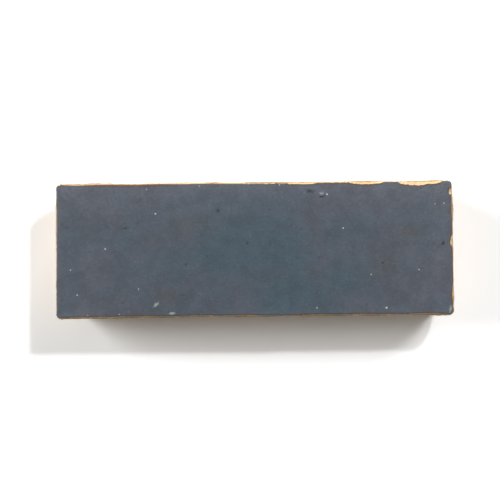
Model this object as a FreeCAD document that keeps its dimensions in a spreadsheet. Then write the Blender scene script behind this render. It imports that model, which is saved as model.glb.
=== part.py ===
"""Zellige tile in the long bejmat format: one fired clay bar with a glazed face.

Frame: millimetres, +Z up. The origin is the middle of the back, which lies on Z = 0, and the
glazed face looks up. X runs along the tile, and Y across it from the near side to the far side.
"""

import FreeCAD, Part
import math
import os

import Sketcher
from FreeCAD import Vector

PARTS_FOLDER = "parts"
NODE = "zellige_tile"

CUTTER_REACH = 1.2  # length and width of the crown's cutter, as shares of the tile's
CUTTER_HEADROOM = 5.0  # height of the crown's cutter above the face, in millimetres
PICK_MARGIN = 0.5  # allowance in millimetres when edges are picked by their place

# Rough places in millimetres for a new sketch, which its constraints then move to the sizes.
ROUGH_X, ROUGH_Y, ROUGH_RADIUS = 70.0, 22.0, 2.0

# alias, value in millimetres, what it is
SIZES = [
    ("face_length", 150.0, "length of the glazed face, at the near side"),
    ("face_width", 50.8, "width of the glazed face, at the middle of its length"),
    ("thickness", 18.0, "from the back to the crown of the face"),
    ("edge_land", 4.0, "height of the upright cut edge under the face"),
    ("near_undercut", 0.8, "how far the back is set in from the face at the near side"),
    ("far_undercut", 2.2, "the same at the far side"),
    ("left_undercut", 8.0, "the same at the left end"),
    ("right_undercut", 5.0, "the same at the right end"),
    ("left_end_lean", 0.6, "how far the left end leans in towards the far side"),
    ("right_end_lean", 0.3, "how far the right end leans in towards the far side"),
    ("corner_radius", 1.5, "rounding of the four upright corners"),
    ("crown_along", 0.45, "how far the face falls from its middle to an end"),
    ("crown_across", 0.25, "how far the face falls from its middle to a side"),
    ("face_arris", 0.7, "rounding of the edge of the face, under the glaze"),
    ("back_arris", 0.6, "rounding of the edge of the back"),
]

# Chips in the edge of the face. Each is a scoop that spans its length along the edge, bites into
# the face and drops down the side. "from_end" is from the right end to the middle of a chip in
# the far side, and "from_far" is from the far side to the middle of a chip in the right end.
CHIPS = [
    ("corner_spall", "from_end", 11.1, 17.7, 1.7, 2.6),
    ("mid_spall", "from_end", 38.5, 23.5, 1.0, 1.9),
    ("flake_scar", "from_end", 57.1, 13.0, 0.9, 1.5),
    ("end_bite", "from_far", 22.5, 4.6, 1.4, 2.2),
    ("corner_knock", "from_far", 4.2, 3.6, 1.3, 1.5),
]


def make_sheet(doc):
    """The spreadsheet of driving dimensions, one aliased cell for each."""
    sheet = doc.addObject("Spreadsheet::Sheet", "Sizes")
    rows = list(SIZES)
    for name, datum, place, length, bite, drop in CHIPS:
        rows.append((f"{name}_{datum}", place, f"{name}: place of its middle"))
        rows.append((f"{name}_length", length, f"{name}: length along the edge"))
        rows.append((f"{name}_bite", bite, f"{name}: depth into the face"))
        rows.append((f"{name}_drop", drop, f"{name}: depth down the side"))
    for row, (alias, value, meaning) in enumerate(rows, start=1):
        sheet.set(f"A{row}", alias)
        sheet.set(f"B{row}", str(value))
        sheet.setAlias(f"B{row}", alias)
        sheet.set(f"C{row}", meaning)
    doc.recompute()
    return sheet


def origin_plane(body, role):
    """One of the body's own origin planes, by its role."""
    return next(f for f in body.Origin.OriginFeatures if f.Role == role)


def add_sketch(body, name, role):
    """An empty sketch on one of the body's origin planes."""
    sketch = body.newObject("Sketcher::SketchObject", name)
    sketch.AttachmentSupport = [(origin_plane(body, role), "")]
    sketch.MapMode = "FlatFace"
    return sketch


def drive(sketch, constraint, name, formula):
    """Adds a dimension to the sketch and binds it to a formula of sheet cells."""
    index = sketch.addConstraint(constraint)
    sketch.renameConstraint(index, name)
    sketch.setExpression(f"Constraints.{name}", formula)


# Name, signs of X and Y, and lean of each corner of the outlines, in order round them.
CORNERS = [
    ("near_left", -1, -1, "0"),
    ("near_right", 1, -1, "0"),
    ("far_right", 1, 1, "Sizes.right_end_lean"),
    ("far_left", -1, 1, "Sizes.left_end_lean"),
]


def pin_corner(sketch, corner, geometry, point, at_back=False):
    """Holds a point of the sketch at one corner of the face, or of the back."""
    name, sx, sy, lean = corner
    side, end = name.split("_")
    end_inset = f"{lean} + Sizes.{end}_undercut" if at_back else lean
    side_inset = f"Sizes.{side}_undercut" if at_back else "0"
    place = sketch.getPoint(geometry, point)
    drive(sketch, Sketcher.Constraint("DistanceX", -1, 1, geometry, point, place.x),
          f"{name}_x", f"{sx} * (Sizes.face_length / 2 - ({end_inset}))")
    drive(sketch, Sketcher.Constraint("DistanceY", -1, 1, geometry, point, place.y),
          f"{name}_y", f"{sy} * (Sizes.face_width / 2 - {side_inset})")


def add_sharp_outline(body):
    """The outline of the face before its corners are rounded: two sides and two ends that lean."""
    sketch = add_sketch(body, "SharpOutline", "XY_Plane")
    rough = [Vector(ROUGH_X * sx, ROUGH_Y * sy, 0) for _, sx, sy, _ in CORNERS]
    for start, end in zip(rough, rough[1:] + rough[:1]):
        sketch.addGeometry(Part.LineSegment(start, end))
    for side in range(4):
        sketch.addConstraint(Sketcher.Constraint("Coincident", (side - 1) % 4, 2, side, 1))
    for side, corner in enumerate(CORNERS):
        pin_corner(sketch, corner, side, 1)
    return sketch


def add_round_outline(body, name, at_back):
    """The outline with its four corners rounded, at the size of the face or of the back."""
    sketch = add_sketch(body, name, "XY_Plane")
    rough = [Vector(ROUGH_X * sx, ROUGH_Y * sy, 0) for _, sx, sy, _ in CORNERS]
    # Geometry 0 to 3 are the near side, right end, far side and left end.
    for start, end in zip(rough, rough[1:] + rough[:1]):
        along = (end - start).normalize() * ROUGH_RADIUS
        sketch.addGeometry(Part.LineSegment(start + along, end - along))
    # Geometry 4 to 7 are the corners, each at the start of the side of the same order.
    for side, (_, sx, sy, _) in enumerate(CORNERS):
        centre = rough[side] - Vector(sx, sy, 0) * ROUGH_RADIUS
        first = math.pi + side * math.pi / 2
        circle = Part.Circle(centre, Vector(0, 0, 1), ROUGH_RADIUS)
        sketch.addGeometry(Part.ArcOfCircle(circle, first, first + math.pi / 2))
    for side in range(4):
        sketch.addConstraint(Sketcher.Constraint("Tangent", (side - 1) % 4, 2, 4 + side, 1))
        sketch.addConstraint(Sketcher.Constraint("Tangent", 4 + side, 2, side, 1))
    drive(sketch, Sketcher.Constraint("Radius", 4, ROUGH_RADIUS), "corner_radius",
          "Sizes.corner_radius")
    for corner in (5, 6, 7):
        sketch.addConstraint(Sketcher.Constraint("Equal", 4, corner))
    # Geometry 8 to 11 are the sharp corners, where each side meets the next.
    for side, corner in enumerate(CORNERS):
        point = sketch.addGeometry(Part.Point(rough[side]), True)
        pin_corner(sketch, corner, point, 1, at_back)
        sketch.addConstraint(Sketcher.Constraint("PointOnObject", point, 1, side))
        sketch.addConstraint(Sketcher.Constraint("PointOnObject", point, 1, (side - 1) % 4))
    return sketch


def edge_names(shape, wanted):
    """Names of the shape's edges whose end points satisfy the test."""
    found = []
    for number, edge in enumerate(shape.Edges, start=1):
        ends = [vertex.Point for vertex in edge.Vertexes]
        if len(ends) == 2 and wanted(*ends):
            found.append(f"Edge{number}")
    return found


def add_fillet(body, base, name, size, wanted):
    """A fillet on every edge of the base feature that passes the test."""
    fillet = body.newObject("PartDesign::Fillet", name)
    fillet.Base = (base, edge_names(base.Shape, wanted))
    fillet.setExpression("Radius", f"Sizes.{size}")
    body.Document.recompute()
    return fillet


def add_crown_section(body, name, station):
    """One section of the space above the crowned face, at a station counted in half lengths."""
    sketch = add_sketch(body, name, "YZ_Plane")
    sketch.setExpression("AttachmentOffset.Base.z", f"{station} * Sizes.face_length / 2")
    # Rough places, which the constraints then move to the sizes in the sheet.
    half_span, low, crest, top = 30.0, 17.5, 18.0, 23.0
    low_left, low_right = Vector(-half_span, low, 0), Vector(half_span, low, 0)
    top_left, top_right = Vector(-half_span, top, 0), Vector(half_span, top, 0)
    sketch.addGeometry(Part.Arc(low_right, Vector(0, crest, 0), low_left))
    arc = sketch.Geometry[0]
    sketch.addGeometry(Part.LineSegment(low_left, top_left))
    sketch.addGeometry(Part.LineSegment(top_left, top_right))
    sketch.addGeometry(Part.LineSegment(top_right, low_right))
    for constraint in (("Coincident", 0, 2, 1, 1), ("Coincident", 1, 2, 2, 1),
                       ("Coincident", 2, 2, 3, 1), ("Coincident", 3, 2, 0, 1),
                       ("Vertical", 1), ("Vertical", 3), ("PointOnObject", 0, 3, -2),
                       ("Symmetric", 2, 1, 2, 2, -2)):
        sketch.addConstraint(Sketcher.Constraint(*constraint))
    radius = "((Sizes.face_width / 2)^2 / (2 * Sizes.crown_across))"
    level = f"(Sizes.thickness - {station}^2 * Sizes.crown_along)"
    drive(sketch, Sketcher.Constraint("Radius", 0, arc.Radius), "across_radius", radius)
    drive(sketch, Sketcher.Constraint("DistanceY", -1, 1, 0, 3, arc.Center.y), "across_centre",
          f"{level} - {radius}")
    drive(sketch, Sketcher.Constraint("DistanceX", 2, 1, 2, 2, 2 * half_span), "span",
          f"Sizes.face_width * {CUTTER_REACH}")
    drive(sketch, Sketcher.Constraint("DistanceY", -1, 1, 2, 1, top), "headroom",
          f"Sizes.thickness + {CUTTER_HEADROOM}")
    return sketch


def add_crown(body):
    """Turns the face off to a shallow crown that falls towards the ends and the sides."""
    left = add_crown_section(body, "CrownLeft", -CUTTER_REACH)
    middle = add_crown_section(body, "CrownMiddle", 0)
    right = add_crown_section(body, "CrownRight", CUTTER_REACH)
    body.Document.recompute()
    crown = body.newObject("PartDesign::SubtractiveLoft", "FaceCrown")
    crown.Profile = left
    crown.Sections = [middle, right]
    body.Document.recompute()
    return crown


def add_chip(body, name, datum):
    """A shallow scoop out of the edge of the face.

    The scoop is part of a sphere. Its centre lies out from the side and up from the face, at the
    distances that give it the stated length, bite and drop.
    """
    half = f"(Sizes.{name}_length / 2)"
    out = f"(({half}^2 - Sizes.{name}_bite^2) / (2 * Sizes.{name}_bite))"
    up = f"(({half}^2 - Sizes.{name}_drop^2) / (2 * Sizes.{name}_drop))"
    place = f"Sizes.{name}_{datum}"
    if datum == "from_end":
        x = f"(Sizes.face_length / 2 - {place})"
        y = f"(Sizes.face_width / 2 + {out})"
        edge_x, edge_y = x, "(Sizes.face_width / 2)"
    else:
        y = f"(Sizes.face_width / 2 - {place})"
        lean = f"(Sizes.right_end_lean * ({y} / Sizes.face_width + 0.5))"
        edge_x, edge_y = f"(Sizes.face_length / 2 - {lean})", y
        x = f"({edge_x} + {out})"
    fall_along = f"(Sizes.crown_along * ({edge_x} / (Sizes.face_length / 2))^2)"
    fall_across = f"(Sizes.crown_across * ({edge_y} / (Sizes.face_width / 2))^2)"
    z = f"(Sizes.thickness - {fall_along} - {fall_across} + {up})"

    chip = body.newObject("PartDesign::SubtractiveSphere", name)
    chip.AttachmentSupport = [(origin_plane(body, "XY_Plane"), "")]
    chip.MapMode = "FlatFace"
    chip.setExpression("Radius", f"sqrt({half}^2 + {out}^2 + {up}^2)")
    chip.setExpression("AttachmentOffset.Base.x", x)
    chip.setExpression("AttachmentOffset.Base.y", y)
    chip.setExpression("AttachmentOffset.Base.z", z)
    body.Document.recompute()
    return chip


def cut_from(before, feature):
    """The volume that a cutting feature leaves. Stops the build if it took nothing off."""
    left = feature.Shape.Volume
    if left >= before:
        raise RuntimeError(f"{feature.Label} cut nothing")
    return left


def upright(a, b):
    """Whether an edge between two points stands upright."""
    return math.hypot(a.x - b.x, a.y - b.y) < PICK_MARGIN < abs(a.z - b.z)


def build_tile(doc):
    """The whole tile: crowned face on an upright land, undercut bar below it, and the chips."""
    body = doc.addObject("PartDesign::Body", "Tile")
    body.Label = NODE
    land_level = "Sizes.thickness - Sizes.edge_land"

    sharp = add_sharp_outline(body)
    sharp.setExpression("AttachmentOffset.Base.z", land_level)
    doc.recompute()
    land = body.newObject("PartDesign::Pad", "EdgeLand")
    land.Profile = sharp
    # Left proud of the crown, which then turns the whole face off.
    land.setExpression("Length", "Sizes.edge_land + Sizes.crown_along + Sizes.crown_across")
    doc.recompute()

    crown = add_crown(body)
    volume = cut_from(land.Shape.Volume, crown)
    corners = add_fillet(body, crown, "UprightCorners", "corner_radius", upright)
    volume = cut_from(volume, corners)
    lowest_corner = doc.Sizes.thickness - doc.Sizes.crown_along - doc.Sizes.crown_across
    face_edge = add_fillet(body, corners, "FaceArris", "face_arris",
                           lambda a, b: min(a.z, b.z) > lowest_corner - PICK_MARGIN)
    cut_from(volume, face_edge)

    land_foot = add_round_outline(body, "LandFoot", at_back=False)
    land_foot.setExpression("AttachmentOffset.Base.z", land_level)
    back = add_round_outline(body, "Back", at_back=True)
    doc.recompute()
    bar = body.newObject("PartDesign::AdditiveLoft", "UndercutBar")
    bar.Profile = back
    bar.Sections = [land_foot]
    bar.Ruled = True
    doc.recompute()
    back_edge = add_fillet(body, bar, "BackArris", "back_arris",
                           lambda a, b: max(a.z, b.z) < PICK_MARGIN)
    volume = cut_from(bar.Shape.Volume, back_edge)

    for name, datum, *_ in CHIPS:
        volume = cut_from(volume, add_chip(body, name, datum))
    return body


def check(doc, bodies):
    """Stops the build if an object failed or a body is not one good solid."""
    for item in doc.Objects:
        if any(word in item.State for word in ("Invalid", "Error")):
            raise RuntimeError(f"{item.Name} failed: {item.State}")
    for body in bodies:
        shape = body.Shape
        if shape.isNull() or not shape.isValid() or len(shape.Solids) != 1:
            raise RuntimeError(f"{body.Label} is not one valid solid")


def main():
    doc = FreeCAD.newDocument("ZelligeTile")
    make_sheet(doc)
    bodies = [build_tile(doc)]
    doc.recompute()
    check(doc, bodies)
    os.makedirs(PARTS_FOLDER, exist_ok=True)
    for body in bodies:
        body.Shape.exportStep(os.path.join(PARTS_FOLDER, f"{body.Label}.step"))
        box = body.Shape.optimalBoundingBox(False)
        print(f"{body.Label}: {box.XLength:.2f} x {box.YLength:.2f} x {box.ZLength:.2f} mm,"
              f" {body.Shape.Volume / 1000:.1f} cm3, {len(body.Shape.Faces)} faces")


main()
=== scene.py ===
"""A zellige tile in the long bejmat format: one hand-cut bar of fired clay with a glazed face.

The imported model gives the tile's size and place. The tile is modelled again here as one fine
closed mesh, with its undercut sides, crowned face, chips, glaze edge and cut marks, and it is
finished with slate-blue glaze over pale fired clay. It lies face up on a white studio floor.

Shapes are worked out in millimetres and turned to metres when the mesh is finished. X runs along
the tile and Y across it, from the near side to the far side.
"""

import logging
import math
from dataclasses import dataclass, field
from enum import Enum
from typing import Any, Optional

import bmesh
import bpy
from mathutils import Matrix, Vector, noise


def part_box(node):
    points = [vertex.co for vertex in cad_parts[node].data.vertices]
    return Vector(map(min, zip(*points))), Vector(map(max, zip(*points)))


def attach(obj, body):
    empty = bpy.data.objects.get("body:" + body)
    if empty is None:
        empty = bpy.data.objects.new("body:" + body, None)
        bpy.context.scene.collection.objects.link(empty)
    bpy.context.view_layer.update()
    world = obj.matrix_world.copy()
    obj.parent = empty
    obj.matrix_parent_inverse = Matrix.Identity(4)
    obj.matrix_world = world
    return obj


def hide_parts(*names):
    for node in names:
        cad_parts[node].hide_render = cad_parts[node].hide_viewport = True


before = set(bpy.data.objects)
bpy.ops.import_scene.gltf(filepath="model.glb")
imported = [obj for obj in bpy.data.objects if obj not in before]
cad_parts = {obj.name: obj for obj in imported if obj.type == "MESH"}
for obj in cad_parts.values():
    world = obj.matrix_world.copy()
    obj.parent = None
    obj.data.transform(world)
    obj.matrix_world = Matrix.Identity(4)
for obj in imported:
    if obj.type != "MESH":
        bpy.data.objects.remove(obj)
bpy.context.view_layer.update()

LOG = logging.getLogger("zellige")
NODE = "zellige_tile"
MM_PER_M = 1000.0
BARE = "bare_clay"  # the mesh's attribute for how far a point lies past the glaze's edge
THIN_AND_SHEEN = "thin_glaze_and_sheen"  # the mesh's attribute for how pale the glaze is towards the rim: thinner glaze, and a painted sheen, strongest on the far side and the ends
FINER_LAYERS = (1.0, 2.0)  # each layer of noise is half the size and half the height of the last
TUCK_ROW = (41.0, 7.0)  # these rows keep the noise of each side and each use apart
NICK_ROW = (17.0, 3.0)
RUN_ROW = (29.0, 0.0)
MARK_REACH = 1.4  # of a mark's half length, where it has faded out
MARK_FALL_OFF = 2.0
MARK_UNEVEN = 0.5  # how far noise moves the outline of a mark
FACING = 0.5  # a face whose normal has more than this of a direction looks that way
DOWNWARD = -0.9  # the height of a normal on the back
Socket = bpy.types.NodeSocket


def linear(hex_colour: str) -> tuple[float, float, float, float]:
    """Turns an sRGB hex colour into linear red, green, blue and alpha.

    Args:
        hex_colour: Six hex digits after a hash.

    Returns:
        The linear colour with an alpha of 1.
    """
    parts = [int(hex_colour[i:i + 2], 16) / 255 for i in (1, 3, 5)]
    red, green, blue = (c / 12.92 if c <= 0.04045 else ((c + 0.055) / 1.055) ** 2.4 for c in parts)
    return red, green, blue, 1.0


def add_node(tree: bpy.types.NodeTree, kind: str, inputs: Optional[dict[Any, Any]] = None,
             **settings: Any) -> bpy.types.Node:
    """Adds a node with its settings, and feeds its inputs.

    Args:
        tree: The node tree that gets the node.
        kind: The node's type.
        inputs: For each input's name or number, the socket linked to it or its plain value.
        **settings: The node's own options.

    Returns:
        The new node.
    """
    node = tree.nodes.new(kind)
    for name, value in settings.items():
        setattr(node, name, value)
    for key, value in (inputs or {}).items():
        if isinstance(value, Socket):
            tree.links.new(value, node.inputs[key])
        else:
            node.inputs[key].default_value = value
    return node


def ramp(low: float, high: float, value: float) -> float:
    """A smooth step from 0 at low to 1 at high."""
    share = min(1.0, max(0.0, (value - low) / (high - low)))
    return share * share * (3 - 2 * share)


def round_off(a: float, b: float) -> tuple[float, float]:
    """Moves a point of the unit square to its place in the quarter disc."""
    return a * math.sqrt(1 - b * b / 2), b * math.sqrt(1 - a * a / 2)


class Side(Enum):
    """The four sides of the tile."""

    NEAR = 0
    RIGHT = 1
    FAR = 2
    LEFT = 3


def noise_row(side: Side, along: float, apart: tuple[float, float]) -> Vector:
    """Where the noise is read for a place along a side."""
    return Vector((along, apart[0] * side.value, apart[1]))


class Relief(Enum):
    """What a mark does to the glaze."""

    PALE = "pale_marks"
    # dark stains, and painted shadows by a lump and in a crack
    DARK = "dark_marks"
    RUST = "rust_marks"
    CLOUD = "brown_clouds"
    TEAL = "teal_clouds"
    LUMP = "lump"
    PIT = "pit"


@dataclass(frozen=True)
class Band:
    """A smooth step of a pattern or a distance between two limits."""

    low: float
    high: float
    start: float = 0.0  # what it gives up to the low limit
    end: float = 1.0  # what it gives from the high limit on

    def inputs(self, value: Socket) -> dict[int, Any]:
        """What a node needs to make this step of a value."""
        return {0: value, 1: self.low, 2: self.high, 3: self.start, 4: self.end}


@dataclass(frozen=True)
class Grain:
    """Cloudy noise in the colour or gloss of the glaze or the clay."""

    size: float  # mm from one blot to the next
    detail: float  # how many finer layers it has

    def inputs(self, place: Socket) -> dict[str, Any]:
        """What a node needs to draw this noise at a place in millimetres."""
        return {"Vector": place, "Scale": 1 / self.size, "Detail": self.detail}


@dataclass(frozen=True)
class Wave:
    """A layer of unevenness in the shape, in millimetres, or as a share of another size."""

    height: float
    size: float  # mm from crest to crest
    layers: int = 1

    def at(self, place: Vector) -> float:
        """Its height at a place."""
        return self.height * noise.fractal(place / self.size, *FINER_LAYERS, self.layers)


@dataclass(frozen=True)
class Chip:
    """A piece broken out of the edge of the face, in millimetres."""

    side: Side
    place: float  # of its middle, along the side from the middle of the tile
    length: float  # along the edge
    bite: float  # into the face
    drop: float  # down the side


@dataclass(frozen=True)
class Mark:
    """A smear, stain, cloud, lump or pit in the glaze, or a painted shadow."""

    kind: Relief
    along: float  # place as a share of the half length
    across: float  # place as a share of the half width
    size: float  # length in millimetres
    strength: float = 1.0  # how far it colours, or the height in millimetres of a lump or pit
    slim: float = 1.0  # width as a share of the length
    turn: float = 0.0  # of its length from X, in degrees


def lay_coats(tree: bpy.types.NodeTree, under: Any, coats: list[tuple[Socket, str]]) -> Socket:
    """Lays colours one over another.

    Args:
        tree: The material's node tree.
        under: The colour below them all.
        coats: For each coat, how far it covers and its hex colour.

    Returns:
        The colour that shows.
    """
    for cover, hex_colour in coats:
        under = add_node(tree, "ShaderNodeMix", {0: cover, 6: under, 7: linear(hex_colour)},
                         data_type="RGBA").outputs[2]
    return under


def tone(tree: bpy.types.NodeTree, colour: Socket, pattern: Socket, light: Band) -> Socket:
    """Makes a colour lighter and darker by a pattern.

    Args:
        tree: The material's node tree.
        colour: The even colour.
        pattern: The noise that it follows.
        light: What the noise multiplies the colour by.

    Returns:
        The toned colour.
    """
    shade = add_node(tree, "ShaderNodeMapRange", light.inputs(pattern),
                     interpolation_type="SMOOTHSTEP").outputs[0]
    return add_node(tree, "ShaderNodeVectorMath", {0: colour, 3: shade},
                    operation="SCALE").outputs[0]


def mark_cover(tree: bpy.types.NodeTree, kind: Relief, wander: Socket, edge: Band) -> Socket:
    """How far a kind of mark covers the tile.

    Args:
        tree: The material's node tree.
        kind: The kind of mark.
        wander: Noise that makes its outline uneven.
        edge: Where the mark ends.

    Returns:
        1 in a mark and 0 outside.
    """
    marked = add_node(tree, "ShaderNodeAttribute", attribute_name=kind.value).outputs["Fac"]
    uneven = add_node(tree, "ShaderNodeMath", {0: wander, 1: MARK_UNEVEN, 2: marked},
                      operation="MULTIPLY_ADD").outputs[0]
    return add_node(tree, "ShaderNodeMapRange", edge.inputs(uneven),
                    interpolation_type="SMOOTHSTEP").outputs[0]


@dataclass(frozen=True)
class SlateGlaze:
    """Slate-blue alkaline glaze, brushed on and fired. It is satin, with clouds of purple grey
    and teal, many small dark pits, and a brown line at its edge. Towards the rim it is paler,
    where it lies thinner and where a sheen is painted in, strongest on the far side and the ends."""

    teal: str = "#374853"
    purple: str = "#454953"
    brown: str = "#45423B"
    # paler glaze towards the rim: thinner glaze, and a painted sheen
    thin_and_sheen: str = "#5B5F69"
    rim: str = "#54402F"
    pale: str = "#8F9896"
    fleck: str = "#BDC1BE"
    dark: str = "#22282D"
    rust: str = "#5E4038"
    clouds: Grain = Grain(18.0, 4.0)
    cloud_edge: Band = Band(0.30, 0.90)  # from purple grey to teal
    teal_depth: float = 0.45  # how far a large teal cloud outweighs the small ones
    mottle: Grain = Grain(5.0, 5.0)  # the blots of the brushed glaze
    mottle_light: Band = Band(0.25, 0.75, 0.85, 1.15)
    grain: Grain = Grain(0.9, 3.0)  # real grains are finer, and are drawn as coarse as shows
    grain_light: Band = Band(0.25, 0.75, 0.90, 1.10)
    smear_edge: Band = Band(0.3, 0.7)
    rim_line: Band = Band(-1.0, -0.05)  # mm short of the edge of the glaze
    pit_gap: float = 1.5  # mm from one pit to the next
    pit_radius: float = 0.36  # mm
    pit_fade: tuple[float, float] = (0.4, 1.4)  # shares of the radius between which a pit ends
    pit_swell: Band = Band(0.0, 1.0, 0.45, 1.3)  # from the smallest pit to the widest
    pit_strength: Band = Band(0.10, 1.0)  # from the faintest pit to the deepest
    pit_cover: float = 0.5  # how far the deepest pit darkens the glaze
    pit_depth: float = 0.05  # mm
    speck_cover: Band = Band(0.55, 1.0, 0.0, 0.09)  # under half the spots are pale, all faint
    sheen: Grain = Grain(3.0, 3.0)  # patches of smoother and rougher glaze
    sheen_height: float = 0.10  # mm
    roughness: Band = Band(0.3, 0.7, 0.31, 0.42)

    def pits(self, tree: bpy.types.NodeTree, place: Socket) -> tuple[Socket, Socket]:
        """Scatters small round spots of uneven size. Most are dark pits and some are pale.

        Args:
            tree: The material's node tree.
            place: The place on the tile in millimetres.

        Returns:
            How much of a dark pit there is, from 0 to 1, and how far a pale speck covers.
        """
        cells = add_node(tree, "ShaderNodeTexVoronoi",
                         {"Vector": place, "Scale": 1 / self.pit_gap}).outputs
        luck = add_node(tree, "ShaderNodeSeparateColor", {0: cells["Color"]}).outputs
        swell = add_node(tree, "ShaderNodeMapRange", self.pit_swell.inputs(luck[0]),
                         interpolation_type="SMOOTHSTEP").outputs[0]
        away = add_node(tree, "ShaderNodeMath", {0: cells["Distance"], 1: swell},
                        operation="DIVIDE").outputs[0]
        core, rim = (share * self.pit_radius / self.pit_gap for share in self.pit_fade)
        spot = add_node(tree, "ShaderNodeMapRange", Band(core, rim, 1.0, 0.0).inputs(away),
                        interpolation_type="SMOOTHSTEP").outputs[0]
        kinds: list[Socket] = []
        for chance, strength in ((luck[1], self.pit_strength), (luck[2], self.speck_cover)):
            strong = add_node(tree, "ShaderNodeMapRange", strength.inputs(chance),
                              interpolation_type="SMOOTHSTEP").outputs[0]
            kinds.append(add_node(tree, "ShaderNodeMath", {0: spot, 1: strong},
                                  operation="MULTIPLY").outputs[0])
        dark_pits, pale_specks = kinds
        return dark_pits, pale_specks

    def colour(self, tree: bpy.types.NodeTree, place: Socket, bare: Socket, dark_pits: Socket,
               pale_specks: Socket, flecks: Socket) -> Socket:
        """The colour of the glaze.

        Args:
            tree: The material's node tree.
            place: The place on the tile in millimetres.
            bare: The distance past the edge of the glaze in millimetres.
            dark_pits: 1 in a dark pit and 0 outside.
            pale_specks: How far a pale speck covers.
            flecks: 1 in a bright fleck and 0 outside.

        Returns:
            The colour socket.
        """
        small, mottle, grain = (
            add_node(tree, "ShaderNodeTexNoise", pattern.inputs(place)).outputs[0]
            for pattern in (self.clouds, self.mottle, self.grain))
        large, brown, thin_and_sheen = (
            add_node(tree, "ShaderNodeAttribute", attribute_name=name).outputs["Fac"]
            for name in (Relief.TEAL.value, Relief.CLOUD.value, THIN_AND_SHEEN))
        cloud = add_node(tree, "ShaderNodeMath", {0: large, 1: self.teal_depth, 2: small},
                         operation="MULTIPLY_ADD").outputs[0]
        teal, rim = (
            add_node(tree, "ShaderNodeMapRange", step,
                     interpolation_type="SMOOTHSTEP").outputs[0]
            for step in (self.cloud_edge.inputs(cloud), self.rim_line.inputs(bare)))
        # the paler rim coat is thinner glaze with a painted sheen
        body = lay_coats(tree, linear(self.purple),
                         [(teal, self.teal), (brown, self.brown), (thin_and_sheen, self.thin_and_sheen)])
        mottled = tone(tree, body, mottle, self.mottle_light)
        grained = tone(tree, mottled, grain, self.grain_light)
        pricks = add_node(tree, "ShaderNodeMath", {0: dark_pits, 1: self.pit_cover},
                          operation="MULTIPLY").outputs[0]
        smears = mark_cover(tree, Relief.PALE, grain, self.smear_edge)
        return lay_coats(tree, grained, [(pricks, self.dark), (pale_specks, self.pale),
                                         (smears, self.pale), (flecks, self.fleck),
                                         (rim, self.rim)])


@dataclass(frozen=True)
class FiredClay:
    """Pale Fez clay, cut by hand and wood-fired. It is dry and chalky, cream to ochre, with grit,
    dark specks and sooty patches. Down the cut sides and on the back it is darker, partly darkened
    in the kiln and partly painted shade. A cream line runs where the glaze has broken away: fresh
    clay, with a painted highlight on the arris."""

    ochre: str = "#C9A26C"
    cream: str = "#E6CC9C"
    # dark clay, also used to paint shade down the cut sides and on the back
    soot_and_shade: str = "#837362"
    speck: str = "#5B4632"
    patches: Grain = Grain(7.0, 4.0)
    cream_edge: Band = Band(0.30, 0.72)  # from ochre to cream
    smoke_and_shade: Band = Band(0.6, 2.5, 0.0, 0.6)  # darker down the cut sides and on the back: darkened in the kiln, and painted shade
    soot_clouds: Grain = Grain(21.7, 3.0)
    soot_edge: Band = Band(0.50, 0.72, 0.0, 0.5)
    grit: Grain = Grain(0.7, 2.0)
    grit_light: Band = Band(0.25, 0.75, 0.82, 1.14)
    speck_edge: Band = Band(0.66, 0.74, 0.0, 0.6)
    fringe_and_highlight: Band = Band(0.2, 1.4, 0.6, 0.0)  # mm past the edge of the glaze; paler fresh clay, and a painted highlight on the arris
    crumbs: Grain = Grain(0.7, 4.0)  # in the relief
    crumb_height: float = 0.6  # mm
    roughness: float = 0.92

    def colour(self, tree: bpy.types.NodeTree, place: Socket, bare: Socket) -> Socket:
        """The colour of the clay.

        Args:
            tree: The material's node tree.
            place: The place on the tile in millimetres.
            bare: The distance past the edge of the glaze in millimetres.

        Returns:
            The colour socket.
        """
        patch, soot_and_shade, grit = (
            add_node(tree, "ShaderNodeTexNoise", pattern.inputs(place)).outputs[0]
            for pattern in (self.patches, self.soot_clouds, self.grit))
        cream, smoked_and_shaded, sooted, specks, fringe_and_highlight = (
            add_node(tree, "ShaderNodeMapRange", step,
                     interpolation_type="SMOOTHSTEP").outputs[0]
            for step in (self.cream_edge.inputs(patch), self.smoke_and_shade.inputs(bare),
                         self.soot_edge.inputs(soot_and_shade), self.speck_edge.inputs(grit),
                         self.fringe_and_highlight.inputs(bare)))
        # past the rim the clay is darker: darkened in the kiln, and painted shade
        body = lay_coats(tree, linear(self.ochre),
                         [(cream, self.cream), (smoked_and_shaded, self.soot_and_shade), (sooted, self.soot_and_shade)])
        grained = tone(tree, body, grit, self.grit_light)
        # the pale line just past the glaze: fresh clay and a painted highlight on the arris
        return lay_coats(tree, grained, [(specks, self.speck), (fringe_and_highlight, self.cream)])


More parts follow.
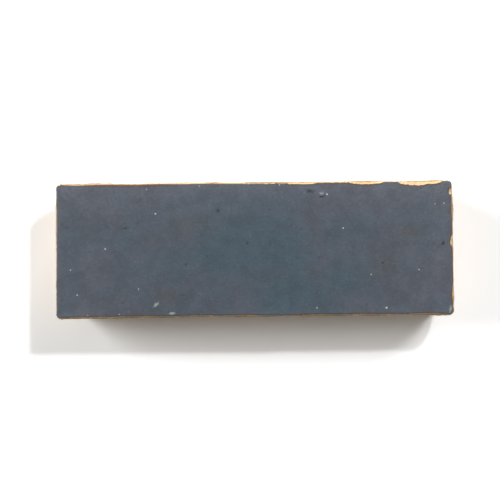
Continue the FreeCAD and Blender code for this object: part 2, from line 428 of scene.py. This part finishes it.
@dataclass(frozen=True)
class GlazedFinish:
    """Fired clay with its glaze. The mesh says how far each point lies past the glaze's edge."""

    glaze: SlateGlaze = SlateGlaze()
    clay: FiredClay = FiredClay()
    flecks: tuple[tuple[float, float, float], ...] = (  # X, Y and width in mm
        (-69.1, -7.0, 0.4), (-66.7, -16.4, 0.5), (-56.0, 0.8, 0.6), (-51.0, -23.8, 0.4),
        (-43.6, -14.4, 0.5), (-40.3, 23.0, 0.4), (-37.0, 13.8, 0.6), (-20.3, 24.1, 0.5),
        (9.6, 24.2, 0.7), (11.0, 24.5, 0.6), (23.2, -22.1, 0.5), (27.4, 20.4, 0.7),
        (33.3, 7.7, 0.55), (43.6, -9.8, 0.4), (49.3, -22.4, 0.8), (61.6, -8.2, 0.5),
        (67.9, 16.4, 0.35), (71.2, 16.7, 0.45))
    fleck_core: float = 0.5  # share of a fleck's width that is solid
    fleck_uneven: float = 0.6  # how far noise moves its outline, as a share of its width
    wander: Grain = Grain(0.8, 3.0)
    edge_wander: Band = Band(0.2, 0.8, -0.35, 0.35)  # mm that the glaze's edge wanders
    edge_width: Band = Band(-0.04, 0.04)  # mm over which the glaze ends
    # where rust stains and dark marks end; some dark marks are painted shadows
    stain_and_shadow_edge: Band = Band(0.3, 0.6)
    bump_strength: float = 0.6
    ior: float = 1.5

    def material(self) -> bpy.types.Material:
        """Builds the material.

        Returns:
            The finished material.
        """
        material = bpy.data.materials.new("slate_glaze_on_fired_clay")
        material.use_nodes = True
        tree = material.node_tree
        tree.nodes.clear()
        coordinates = add_node(tree, "ShaderNodeTexCoord")
        place = add_node(tree, "ShaderNodeMapping", {"Vector": coordinates.outputs["Object"],
                                                     "Scale": (MM_PER_M,) * 3}).outputs[0]
        wander, sheen, crumbs = (
            add_node(tree, "ShaderNodeTexNoise", pattern.inputs(place)).outputs[0]
            for pattern in (self.wander, self.glaze.sheen, self.clay.crumbs))
        line = add_node(tree, "ShaderNodeAttribute", attribute_name=BARE).outputs["Fac"]
        shift, glaze_rough = (
            add_node(tree, "ShaderNodeMapRange", step,
                     interpolation_type="SMOOTHSTEP").outputs[0]
            for step in (self.edge_wander.inputs(wander), self.glaze.roughness.inputs(sheen)))
        bare = add_node(tree, "ShaderNodeMath", {0: line, 1: shift}, operation="ADD").outputs[0]
        clay_share = add_node(tree, "ShaderNodeMapRange", self.edge_width.inputs(bare),
                              interpolation_type="SMOOTHSTEP").outputs[0]

        dark_pits, pale_specks = self.glaze.pits(tree, place)
        glaze = self.glaze.colour(tree, place, bare, dark_pits, pale_specks,
                                  self.scatter(tree, place, wander))
        clay = self.clay.colour(tree, place, bare)
        tile = add_node(tree, "ShaderNodeMix", {0: clay_share, 6: glaze, 7: clay},
                        data_type="RGBA").outputs[2]
        rust = mark_cover(tree, Relief.RUST, wander, self.stain_and_shadow_edge)
        # dark marks: stains, and painted shadows by a lump and in a crack
        dark = mark_cover(tree, Relief.DARK, wander, self.stain_and_shadow_edge)
        colour = lay_coats(tree, tile, [(rust, self.glaze.rust), (dark, self.glaze.dark)])

        glaze_swell = add_node(tree, "ShaderNodeMath", {0: sheen, 1: self.glaze.sheen_height},
                               operation="MULTIPLY").outputs[0]
        glaze_height = add_node(tree, "ShaderNodeMath",
                                {0: dark_pits, 1: -self.glaze.pit_depth, 2: glaze_swell},
                                operation="MULTIPLY_ADD").outputs[0]
        clay_height = add_node(tree, "ShaderNodeMath", {0: crumbs, 1: self.clay.crumb_height},
                               operation="MULTIPLY").outputs[0]
        rough, height = (
            add_node(tree, "ShaderNodeMix", {0: clay_share, 2: of_glaze, 3: of_clay},
                     data_type="FLOAT").outputs[0]
            for of_glaze, of_clay in ((glaze_rough, self.clay.roughness),
                                      (glaze_height, clay_height)))
        bump = add_node(tree, "ShaderNodeBump", {"Height": height, "Distance": 1 / MM_PER_M,
                                                 "Strength": self.bump_strength})
        shader = add_node(tree, "ShaderNodeBsdfPrincipled",
                          {"Base Color": colour, "Roughness": rough, "IOR": self.ior,
                           "Normal": bump.outputs[0]})
        add_node(tree, "ShaderNodeOutputMaterial", {"Surface": shader.outputs[0]})
        return material

    def scatter(self, tree: bpy.types.NodeTree, place: Socket, wander: Socket) -> Socket:
        """Strews the bright flecks over the face.

        Args:
            tree: The material's node tree.
            place: The place on the tile in millimetres.
            wander: Noise that makes their outlines uneven.

        Returns:
            1 in a fleck and 0 outside.
        """
        flat = add_node(tree, "ShaderNodeVectorMath", {0: place, 1: (1.0, 1.0, 0.0)},
                        operation="MULTIPLY").outputs[0]
        flecks: Any = 0.0
        for x, y, width in self.flecks:
            away = add_node(tree, "ShaderNodeVectorMath", {0: flat, 1: (x, y, 0.0)},
                            operation="DISTANCE").outputs["Value"]
            uneven = add_node(tree, "ShaderNodeMath",
                              {0: wander, 1: self.fleck_uneven * width, 2: away},
                              operation="MULTIPLY_ADD").outputs[0]
            outline = Band(self.fleck_core * width, width, 1.0, 0.0)
            spot = add_node(tree, "ShaderNodeMapRange", outline.inputs(uneven),
                            interpolation_type="SMOOTHSTEP").outputs[0]
            flecks = add_node(tree, "ShaderNodeMath", {0: spot, 1: flecks},
                              operation="MAXIMUM").outputs[0]
        return flecks


@dataclass
class TileBody:
    """The tile itself. All sizes are in millimetres."""

    length: float
    width: float
    height: float
    land: float = 4.0  # upright cut edge under the face
    left_lean: float = 0.45  # of the left end, in towards the far side
    right_lean: float = 0.3
    corner_radius: float = 1.8
    crown_along: float = 0.45
    crown_across: float = 0.25
    face_arris: float = 0.7
    back_arris: float = 0.6
    glaze_thickness: float = 0.25
    rim_reach: float = 8.0  # how far in from the rim the face is drawn together
    rim_zone: float = 6.4  # past this far from the rim nothing is broken out
    tuck_fade: tuple[float, float] = (0.01, 0.06)  # shares of a side where the tuck grows full
    corner_tuck: float = 0.5  # share of the tuck that is left at a corner
    tuck_fall: tuple[float, float] = (2.2, 0.7)  # how far down it starts and is full
    tuck_wave: Wave = Wave(0.5, 12.0, 2)  # as a share of the tuck
    nicks: tuple[tuple[Wave, float], ...] = (  # only the part above the second value bites
        (Wave(0.9, 3.2, 2), 0.27), (Wave(0.35, 0.9), 0.0875))
    nick_slope: float = 1.2  # drop of a nick as a share of its bite
    chip_roundness: float = 0.35  # 1 for a long lens, and near 0 for a square notch
    chip_wave: Wave = Wave(0.25, 2.4, 3)  # as a share of the chip
    torn_chip: Wave = Wave(0.12, 1.3, 3)  # the rough clay inside a chip
    torn_rise: float = 3.0  # how soon that roughness is full, going into the chip
    least_bite: float = 0.02
    far_inside: float = -10.0  # the value of bare_clay well inside the glaze
    paling_power: float = 1.3  # how sharply the paler rim, thinner glaze and painted sheen, gives way inwards
    run_waves: tuple[Wave, ...] = (Wave(0.3, 9.0, 2), Wave(0.25, 1.6, 2))
    glaze_lip: float = 0.4  # past its edge, over which the glaze rounds down to the clay
    cut_zone: tuple[float, float] = (0.4, 3.0)  # past the edge, where the cut side roughens
    hewn_zone: tuple[float, float] = (3.0, 8.0)  # past the edge, where the hammer marks begin
    calm_rim: tuple[float, float] = (-0.3, -3.0)  # short of the edge, where the waves begin
    glaze_waves: tuple[Wave, ...] = (Wave(0.10, 30.0, 2), Wave(0.035, 6.0, 2))
    facet_wave: Wave = Wave(0.32, 11.0, 2)
    torn_waves: tuple[Wave, ...] = (Wave(0.16, 2.6, 4), Wave(0.06, 0.9, 2))
    hewn_waves: tuple[Wave, ...] = (Wave(0.45, 7.0, 2), Wave(0.22, 3.0, 3))
    flat_back: float = 0.08  # how much of that roughness the flat back hides
    cells: tuple[int, int, int] = (340, 96, 28)  # mesh cells along, across and up
    crowding: tuple[float, float, float] = (0.2, 0.5, 0.45)  # of the cells towards the edges
    sheet_size: float = 163.0  # side of the square that the flat map covers
    sheet_gap: float = 1.6
    undercut: dict[Side, float] = field(default_factory=lambda: {  # how far the back is set in
        Side.NEAR: 0.8, Side.RIGHT: 5.0, Side.FAR: 2.2, Side.LEFT: 8.0})
    tuck: dict[Side, float] = field(default_factory=lambda: {  # how far the rim is set in
        Side.NEAR: 0.6, Side.RIGHT: 0.32, Side.FAR: 0.35, Side.LEFT: 0.3})
    glaze_run: dict[Side, float] = field(default_factory=lambda: {  # past the middle of the rim
        Side.NEAR: 0.35, Side.RIGHT: 0.15, Side.FAR: 0.05, Side.LEFT: 0.25})
    paling_and_sheen: dict[Side, tuple[float, float]] = field(default_factory=lambda: {  # share and reach of the paler rim: thinner glaze, and a painted sheen, most on the far side
        Side.NEAR: (0.08, 3.0), Side.RIGHT: (0.34, 24.0), Side.FAR: (0.75, 8.5),
        Side.LEFT: (0.26, 22.0)})
    chips: list[Chip] = field(default_factory=lambda: [
        Chip(Side.FAR, 60.6, 12.4, 1.4, 2.6),
        Chip(Side.FAR, 65.4, 10.6, 1.0, 1.9),
        Chip(Side.FAR, 42.4, 13.0, 0.8, 1.9),
        Chip(Side.FAR, 31.0, 15.0, 0.3, 0.9),
        Chip(Side.FAR, 18.0, 12.5, 0.7, 1.4),
        Chip(Side.RIGHT, 2.7, 4.2, 0.95, 2.0),
        Chip(Side.RIGHT, 21.1, 2.2, 1.2, 1.2),
        Chip(Side.RIGHT, -17.0, 7.0, 0.4, 1.4),
    ])
    marks: list[Mark] = field(default_factory=lambda: [
        Mark(Relief.LUMP, 0.346, 0.815, 3.0, 0.28, 0.6),
        Mark(Relief.PALE, 0.340, 0.818, 2.4, 0.42, 0.6),
        # a painted shadow on the near side of the lump
        Mark(Relief.DARK, 0.340, 0.770, 3.4, 0.45, 0.25),
        Mark(Relief.DARK, 0.281, 0.855, 5.0, 0.38, 0.4),
        # a painted shadow in the crack of the broken flake at the far edge
        Mark(Relief.DARK, 0.253, 0.990, 5.0, 0.9, 0.12),
        Mark(Relief.DARK, -0.155, 0.995, 7.0, 0.9, 0.1),
        Mark(Relief.RUST, -0.155, 0.975, 8.0, 0.6, 0.14),
        Mark(Relief.RUST, -0.620, 0.970, 58.0, 0.42, 0.03),
        Mark(Relief.RUST, 0.990, -0.100, 40.0, 0.38, 0.03, 90.0),
        Mark(Relief.PALE, 0.979, -0.909, 3.8, 0.5, 0.4, 80.0),
        Mark(Relief.PALE, -0.495, -0.800, 3.4, 0.5, 0.5, 35.0),
        Mark(Relief.PALE, -0.415, -0.930, 2.8, 0.9, 0.4),
        Mark(Relief.PALE, -0.840, -0.950, 2.4, 0.35, 0.4, -40.0),
        Mark(Relief.PALE, -0.774, -0.985, 1.6, 0.6, 0.5),
        Mark(Relief.DARK, -0.180, 0.576, 1.2, 0.75),
        Mark(Relief.PIT, -0.180, 0.576, 1.4, 0.15),
        Mark(Relief.DARK, -0.035, 0.099, 1.0, 0.7),
        Mark(Relief.PIT, -0.035, 0.099, 1.1, 0.12),
        Mark(Relief.DARK, -0.235, -0.090, 1.0, 0.6, 0.5, 80.0),
        Mark(Relief.DARK, -0.344, -0.206, 2.0, 0.42, 0.6),
        Mark(Relief.DARK, -0.644, 0.329, 2.2, 0.42, 0.5),
        Mark(Relief.RUST, 0.115, -0.300, 1.6, 0.5, 0.6, 110.0),
        Mark(Relief.DARK, 0.640, -0.208, 1.0, 0.6),
        Mark(Relief.DARK, 0.944, 0.068, 1.8, 0.6),
        Mark(Relief.CLOUD, -0.352, 0.379, 16.0, 0.36, 0.8, 30.0),
        Mark(Relief.CLOUD, -0.421, -0.670, 12.0, 0.35, 0.7),
        Mark(Relief.CLOUD, 0.768, 0.238, 14.0, 0.4, 0.6, -20.0),
        Mark(Relief.CLOUD, 0.665, -0.254, 13.0, 0.35, 0.7, 40.0),
        Mark(Relief.TEAL, -0.010, 0.170, 64.0, 1.2, 0.75),
        Mark(Relief.TEAL, 0.190, -0.630, 40.0, 0.9, 0.55),
        Mark(Relief.TEAL, 0.455, -0.380, 28.0, 0.5, 0.8),
        Mark(Relief.TEAL, -0.930, -0.190, 28.0, 0.5, 0.4, 90.0),
    ])

    def block(self) -> bmesh.types.BMesh:
        """A cube from -1 to 1, cut into fine cells.

        Returns:
            The new mesh.
        """
        bm = bmesh.new()
        bmesh.ops.create_cube(bm, size=2.0)
        for axis, cells in enumerate(self.cells):
            uncut = [e for e in bm.edges if abs(e.verts[0].co[axis] - e.verts[1].co[axis]) > 1]
            bmesh.ops.subdivide_edges(bm, edges=uncut, cuts=cells - 1, use_grid_fill=True)
        for vertex in bm.verts:
            for axis, crowding in enumerate(self.crowding):
                share = vertex.co[axis]
                vertex.co[axis] = share + crowding * math.sin(math.pi * share) / math.pi
        return bm

    def lay_out(self, bm: bmesh.types.BMesh) -> None:
        """Lays the six sides of the block out flat in the mesh's own map, at one scale.

        Args:
            bm: The block before it is shaped.
        """
        layer = bm.loops.layers.uv.new("OFBake")
        half = Vector((self.length, self.width, self.height)) / 2
        gap = self.sheet_gap
        face_rows = (gap, 2 * gap + self.width)
        side_rows = [3 * gap + 2 * self.width + n * (gap + self.height) for n in range(3)]
        for face in bm.faces:
            way = face.normal
            for loop in face.loops:
                x, y, z = (half[i] * (loop.vert.co[i] + 1) for i in range(3))
                if abs(way.z) > FACING:
                    spot = (gap + x, face_rows[0 if way.z > 0 else 1] + y)
                elif abs(way.y) > FACING:
                    spot = (gap + x, side_rows[0 if way.y < 0 else 1] + z)
                else:
                    start = gap if way.x < 0 else 2 * gap + self.width
                    spot = (start + y, side_rows[2] + z)
                loop[layer].uv = Vector(spot) / self.sheet_size

    def crown(self, x: float, y: float) -> float:
        """How far the face has fallen from its middle at a place."""
        return (self.crown_along * (2 * x / self.length) ** 2
                + self.crown_across * (2 * y / self.width) ** 2)

    def shape_block(self, bm: bmesh.types.BMesh) -> None:
        """Gives the block its undercut, leaning ends, rounded corners and edges, and its crown.

        Args:
            bm: The block from -1 to 1.
        """
        for vertex in bm.verts:
            along, across, up = vertex.co
            z = self.height * (up + 1) / 2
            share = max(0.0, 1 - z / (self.height - self.land))
            near, right, far, left = (share * self.undercut[side] for side in Side)
            half_x = (self.length - left - right) / 2
            half_y = (self.width - near - far) / 2
            x, y = self.round_corner(along * half_x, across * half_y, half_x, half_y)
            depth, inward = self.inset_at(x, y, half_x, half_y)
            for radius, fall, way in ((self.face_arris, self.height - z, -1),
                                      (self.back_arris, z, 1)):
                if depth < radius and fall < radius:
                    a, b = round_off(1 - depth / radius, 1 - fall / radius)
                    step = (1 - a) * radius - depth
                    x, y = x + inward[0] * step, y + inward[1] * step
                    z += way * ((1 - b) * radius - fall)
            x, y = x + (left - right) / 2, y + (near - far) / 2
            lean_share = y / self.width + 0.5
            x += lean_share * (self.left_lean * (1 - along) - self.right_lean * (1 + along)) / 2
            z *= 1 - self.crown(x, y) / self.height
            vertex.co = (x, y, z)

    def tuck_at(self, side: Side, along: float) -> float:
        """How far the glazed rim is set in from the cut side under it.

        Args:
            side: The side.
            along: The place along it.

        Returns:
            The distance in.
        """
        length = self.length if side in (Side.NEAR, Side.FAR) else self.width
        start, full = (share * length for share in self.tuck_fade)
        grown = ramp(start, full, length / 2 - abs(along))
        share = self.corner_tuck + (1 - self.corner_tuck) * grown
        return self.tuck[side] * share * (1 + self.tuck_wave.at(noise_row(side, along, TUCK_ROW)))

    def tuck_rim(self, bm: bmesh.types.BMesh) -> None:
        """Sets the rim of the face in, so that the cut clay stands proud under it.

        Args:
            bm: The shaped tile.
        """
        for vertex in bm.verts:
            x, y, z = vertex.co
            level = ramp(*self.tuck_fall, self.height - self.crown(x, y) - z)
            if level == 0:
                continue
            for side in Side:
                along, depth, inward = self.edge_place(side, x, y)
                if depth < self.rim_reach:
                    fade = level * (1 - max(depth, 0.0) / self.rim_reach)
                    vertex.co += inward.to_3d() * self.tuck_at(side, along) * fade

    def round_corner(self, x: float, y: float, half_x: float,
                     half_y: float) -> tuple[float, float]:
        """Moves a point from the sharp outline to its place in the rounded one.

        Args:
            x: The point's place along the tile.
            y: The point's place across the tile.
            half_x: Half the length of the outline.
            half_y: Half the width of the outline.

        Returns:
            The point's new place along and across.
        """
        radius = self.corner_radius
        past_x, past_y = abs(x) - half_x + radius, abs(y) - half_y + radius
        if past_x <= 0 or past_y <= 0:
            return x, y
        a, b = round_off(past_x / radius, past_y / radius)
        return (math.copysign(half_x - radius + a * radius, x),
                math.copysign(half_y - radius + b * radius, y))

    def inset_at(self, x: float, y: float, half_x: float,
                 half_y: float) -> tuple[float, tuple[float, float]]:
        """Where a point lies against the rounded outline.

        Args:
            x: The point's place along the tile.
            y: The point's place across the tile.
            half_x: Half the length of the outline.
            half_y: Half the width of the outline.

        Returns:
            How far inside the outline it lies, and the way in from the outline.
        """
        radius = self.corner_radius
        past_x, past_y = abs(x) - half_x + radius, abs(y) - half_y + radius
        sign_x, sign_y = math.copysign(1, x), math.copysign(1, y)
        if past_x > 0 and past_y > 0:
            reach = math.hypot(past_x, past_y)
            return radius - reach, (-sign_x * past_x / reach, -sign_y * past_y / reach)
        if past_x > past_y:
            return radius - past_x, (-sign_x, 0.0)
        return radius - past_y, (0.0, -sign_y)

    def edge_place(self, side: Side, x: float, y: float) -> tuple[float, float, Vector]:
        """Where a point lies against one side of the tile.

        Args:
            side: The side.
            x: The point's place along the tile.
            y: The point's place across the tile.

        Returns:
            The place along the side, the distance in from it, and the way in.
        """
        lean_share = y / self.width + 0.5
        if side is Side.NEAR:
            return x, y + self.width / 2, Vector((0, 1, 0))
        if side is Side.FAR:
            return x, self.width / 2 - y, Vector((0, -1, 0))
        if side is Side.LEFT:
            return y, x + self.length / 2 - self.left_lean * lean_share, Vector((1, 0, 0))
        return y, self.length / 2 - self.right_lean * lean_share - x, Vector((-1, 0, 0))

    def broken(self, side: Side, along: float) -> tuple[float, float]:
        """How far the edge of the face is broken away at a place along a side.

        Args:
            side: The side.
            along: The place along it.

        Returns:
            The bite into the face and the drop down the side.
        """
        spot = noise_row(side, along, NICK_ROW)
        nick = sum(max(0.0, wave.at(spot) - level) for wave, level in self.nicks)
        bite, drop = nick, self.nick_slope * nick
        for chip in self.chips:
            if chip.side is not side:
                continue
            reach = 1 - (2 * (along - chip.place) / chip.length) ** 2
            if reach > 0:
                depth = reach ** self.chip_roundness * (1 + self.chip_wave.at(spot))
                bite = max(bite, chip.bite * depth)
                drop = max(drop, chip.drop * depth)
        return bite, drop

    def break_edges(self, bm: bmesh.types.BMesh) -> None:
        """Breaks the chips out of the rim, and notes where clay is bare and where the glaze is
        paler: thinner, and with a painted sheen that is strongest on the far side.

        Args:
            bm: The shaped tile.
        """
        bare = bm.verts.layers.float.new(BARE)
        thin_and_sheen = bm.verts.layers.float.new(THIN_AND_SHEEN)
        for vertex in bm.verts:
            x, y, z = vertex.co
            fall = self.height - self.crown(x, y) - z
            if fall > self.rim_zone:
                vertex[bare] = fall
                continue
            best = self.far_inside
            unpaled = 1.0
            shift = Vector()
            for side in Side:
                along, depth, inward = self.edge_place(side, x, y)
                depth -= self.tuck_at(side, along)
                most, reach = self.paling_and_sheen[side]
                # the rim pales: thinner glaze, and a painted sheen, most on the far side and the
                # ends
                unpaled *= 1 - most * math.exp(-(max(depth, 0.0) / reach) ** self.paling_power)
                if depth > self.rim_zone:
                    continue
                spot = noise_row(side, along, RUN_ROW)
                run = self.glaze_run[side] + sum(wave.at(spot) for wave in self.run_waves)
                best = max(best, fall - depth - run)
                bite, drop = self.broken(side, along)
                if bite < self.least_bite:
                    continue
                share = max(depth, 0.0) / bite + max(fall, 0.0) / drop
                if share < 1:
                    shift += (inward * bite - Vector((0, 0, drop))) * (1 - share) / 2
                    rough = self.torn_chip.at(vertex.co) * min(1.0, self.torn_rise * (1 - share))
                    shift += (inward - Vector((0, 0, 1))) * rough
                    best = max(best, (1 - share) * math.hypot(bite, drop) / 2)
                else:
                    best = max(best, (1 - share) * bite)
            vertex[bare] = best
            vertex[thin_and_sheen] = 1 - unpaled
            vertex.co += shift

    def weather(self, bm: bmesh.types.BMesh) -> None:
        """Raises the glaze over the clay, waves the face, and roughens the cut sides and back.

        Args:
            bm: The tile with its chips.
        """
        bm.normal_update()
        bare = bm.verts.layers.float[BARE]
        moves: list[Vector] = []
        for vertex in bm.verts:
            place = vertex.co.copy()
            clay = ramp(0.0, self.glaze_lip, vertex[bare])
            cut = ramp(*self.cut_zone, vertex[bare])
            move = -self.glaze_thickness * clay * (1 - cut)
            if clay < 1:
                wave = sum(layer.at(place) for layer in self.glaze_waves)
                move += (1 - clay) * wave * ramp(*self.calm_rim, vertex[bare])
            if cut > 0:
                torn = sum(layer.at(place) for layer in self.torn_waves)
                hewn = sum(layer.at(place) for layer in self.hewn_waves)
                move += cut * (self.facet_wave.at(place) + torn)
                move += ramp(*self.hewn_zone, vertex[bare]) * hewn
                if vertex.normal.z < DOWNWARD:  # the back is flat but for small pits
                    move = min(0.0, torn - self.flat_back)
            moves.append(vertex.normal * move)
        for vertex, move in zip(bm.verts, moves):
            vertex.co += move
            vertex.co.z = max(0.0, vertex.co.z)

    def mark_face(self, bm: bmesh.types.BMesh) -> None:
        """Puts the marks in the glaze: stains, clouds and painted shadows as attributes, lumps and
        pits as shape.

        Args:
            bm: The weathered tile.
        """
        layers = {kind: bm.verts.layers.float.new(kind.value)
                  for kind in Relief if kind not in (Relief.LUMP, Relief.PIT)}
        face = [v for v in bm.verts if v.co.z > self.height - self.land / 2]
        for mark in self.marks:
            middle = Vector((mark.along * self.length / 2, mark.across * self.width / 2))
            turn = math.radians(mark.turn)
            reach = mark.size / 2
            for vertex in face:
                away = vertex.co.xy - middle
                if max(abs(away.x), abs(away.y)) > MARK_REACH * reach:
                    continue
                long = away.x * math.cos(turn) + away.y * math.sin(turn)
                wide = (away.y * math.cos(turn) - away.x * math.sin(turn)) / mark.slim
                fall = max(0.0, self.height - self.crown(*vertex.co.xy) - vertex.co.z)
                share = math.hypot(long, wide, fall / (2 * mark.slim)) / reach
                if share >= MARK_REACH:
                    continue
                amount = mark.strength * math.exp(-MARK_FALL_OFF * share * share)
                if mark.kind is Relief.LUMP:
                    vertex.co.z += amount
                elif mark.kind is Relief.PIT:
                    vertex.co.z -= amount
                else:
                    layer = layers[mark.kind]
                    vertex[layer] = max(vertex[layer], amount)

    def build(self, name: str) -> bpy.types.Object:
        """Models the tile.

        Args:
            name: The new object's name.

        Returns:
            The tile in metres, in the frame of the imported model.
        """
        bm = self.block()
        self.lay_out(bm)
        self.shape_block(bm)
        self.tuck_rim(bm)
        self.break_edges(bm)
        self.weather(bm)
        self.mark_face(bm)
        bmesh.ops.scale(bm, vec=(1 / MM_PER_M,) * 3, verts=bm.verts)
        for face in bm.faces:
            face.smooth = True
        mesh = bpy.data.meshes.new(name)
        bm.to_mesh(mesh)
        bm.free()
        tile = bpy.data.objects.new(name, mesh)
        bpy.context.scene.collection.objects.link(tile)
        return tile

    def dress(self, tile: bpy.types.Object, finish: GlazedFinish) -> None:
        """Gives the tile its finish."""
        tile.data.materials.append(finish.material())


@dataclass(frozen=True)
class Lamp:
    """A studio light so far off that it is the same all over the floor."""

    name: str
    azimuth: float  # where it stands, in degrees round from +X
    elevation: float  # degrees above the floor
    spread: float  # its width in the sky, in degrees
    share: float  # of the light on the floor, which makes 1 with all lamps and the air
    colour: str = "#FFFFFF"

    def build(self) -> None:
        """Hangs the lamp."""
        data = bpy.data.lights.new(self.name, "SUN")
        data.energy = self.share * math.pi / math.sin(math.radians(self.elevation))
        data.angle = math.radians(self.spread)
        data.color = linear(self.colour)[:3]
        lamp = bpy.data.objects.new(self.name, data)
        azimuth, elevation = math.radians(self.azimuth), math.radians(self.elevation)
        towards = Vector((math.cos(azimuth) * math.cos(elevation),
                          math.sin(azimuth) * math.cos(elevation), math.sin(elevation)))
        lamp.rotation_euler = towards.to_track_quat("Z", "Y").to_euler()
        lamp.location = towards
        bpy.context.scene.collection.objects.link(lamp)


@dataclass
class Studio:
    """The white floor, the lights and the camera that looks straight down."""

    frame_width: float = 0.1874  # metres that the picture spans at the face of the tile
    lens: float = 120.0  # mm
    sensor: float = 36.0  # mm
    roll: float = -0.61  # degrees
    aim: tuple[float, float] = (-0.00169, -0.00017)  # metres from the middle of the tile
    floor_size: float = 6.0  # metres
    floor_level: float = 0.0003  # metres, just over the pits in the back, so it hides none
    floor_colour: str = "#F2F2F2"
    floor_glow: float = 1.57  # how much brighter the floor shows than it lights the tile
    air_share: float = 0.175  # of the light on the floor that comes from all round
    air_colour: str = "#FFFCF8"
    lamps: list[Lamp] = field(default_factory=lambda: [
        Lamp("key", 50.0, 41.0, 4.0, 0.21),
        Lamp("right_softbox", 40.0, 27.0, 18.0, 0.22),
        Lamp("left_softbox", 161.0, 19.0, 34.0, 0.335),
        Lamp("far_strip", 76.0, 12.0, 16.0, 0.06),
    ])

    def lay_floor(self) -> bpy.types.Object:
        """Lays the floor. Where it is fully lit it shows white, and it keeps the shadow.

        Returns:
            The floor.
        """
        bm = bmesh.new()
        bmesh.ops.create_grid(bm, x_segments=1, y_segments=1, size=self.floor_size / 2)
        bmesh.ops.translate(bm, vec=(0, 0, self.floor_level), verts=bm.verts)
        mesh = bpy.data.meshes.new("studio_floor")
        bm.to_mesh(mesh)
        bm.free()
        material = bpy.data.materials.new("matt_white_paper")
        material.use_nodes = True
        tree = material.node_tree
        tree.nodes.clear()
        plain = linear(self.floor_colour)
        bright = (*(self.floor_glow * c for c in plain[:3]), 1.0)
        colour = add_node(tree, "ShaderNodeMix", {0: self.seen_directly(tree), 6: plain, 7: bright},
                          data_type="RGBA").outputs[2]
        paper = add_node(tree, "ShaderNodeBsdfDiffuse", {"Color": colour})
        add_node(tree, "ShaderNodeOutputMaterial", {"Surface": paper.outputs[0]})
        mesh.materials.append(material)
        floor = bpy.data.objects.new("studio_floor", mesh)
        bpy.context.scene.collection.objects.link(floor)
        return floor

    def seen_directly(self, tree: bpy.types.NodeTree) -> Socket:
        """Tells what is looked at from what only gives light.

        Args:
            tree: The node tree of the floor or the air.

        Returns:
            1 for what the camera, a reflection or a clear surface shows, and 0 for plain light.
        """
        path = add_node(tree, "ShaderNodeLightPath").outputs
        seen: Socket = path["Is Camera Ray"]
        for other in ("Is Glossy Ray", "Is Transmission Ray"):
            seen = add_node(tree, "ShaderNodeMath", {0: seen, 1: path[other]},
                            operation="MAXIMUM").outputs[0]
        return seen

    def fill_air(self) -> None:
        """Surrounds the scene with white that lights it only softly."""
        world = bpy.data.worlds.new("white_studio")
        world.use_nodes = True
        tree = world.node_tree
        tree.nodes.clear()
        tint = (*(self.air_share * c for c in linear(self.air_colour)[:3]), 1.0)
        colour = add_node(tree, "ShaderNodeMix",
                          {0: self.seen_directly(tree), 6: tint, 7: linear("#FFFFFF")},
                          data_type="RGBA").outputs[2]
        air = add_node(tree, "ShaderNodeBackground", {"Color": colour})
        add_node(tree, "ShaderNodeOutputWorld", {"Surface": air.outputs[0]})
        bpy.context.scene.world = world

    def hang_camera(self, face_level: float) -> None:
        """Hangs the camera over the tile, looking straight down.

        Args:
            face_level: The height of the face in metres.
        """
        data = bpy.data.cameras.new("camera")
        data.lens = self.lens
        data.sensor_width = self.sensor
        camera = bpy.data.objects.new("camera", data)
        distance = self.frame_width * self.lens / self.sensor
        camera.location = (*self.aim, face_level + distance)
        camera.rotation_euler = (0.0, 0.0, math.radians(self.roll))
        bpy.context.scene.collection.objects.link(camera)
        bpy.context.scene.camera = camera

    def build(self, face_level: float) -> None:
        """Sets up the whole studio.

        Args:
            face_level: The height of the tile's face in metres.
        """
        self.lay_floor()
        self.fill_air()
        for lamp in self.lamps:
            lamp.build()
        self.hang_camera(face_level)
        bpy.context.scene.view_settings.view_transform = "Standard"


def main() -> None:
    """Builds the tile, its finish and the studio."""
    logging.basicConfig(level=logging.INFO, format="%(name)s: %(message)s")
    low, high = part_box(NODE)
    length, width, height = (high - low) * MM_PER_M
    body = TileBody(length, width, height)
    tile = body.build("glazed_tile")
    body.dress(tile, GlazedFinish())
    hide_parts(NODE)
    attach(tile, "root")
    triangles = sum(len(p.vertices) - 2 for p in tile.data.polygons)
    LOG.info("glazed_tile: %d triangles, %.1f x %.1f x %.1f mm", triangles,
             *(MM_PER_M * d for d in tile.dimensions))
    Studio().build(high.z)
    LOG.info("studio: floor, lamps and camera")


if __name__ == "__main__":
    main()
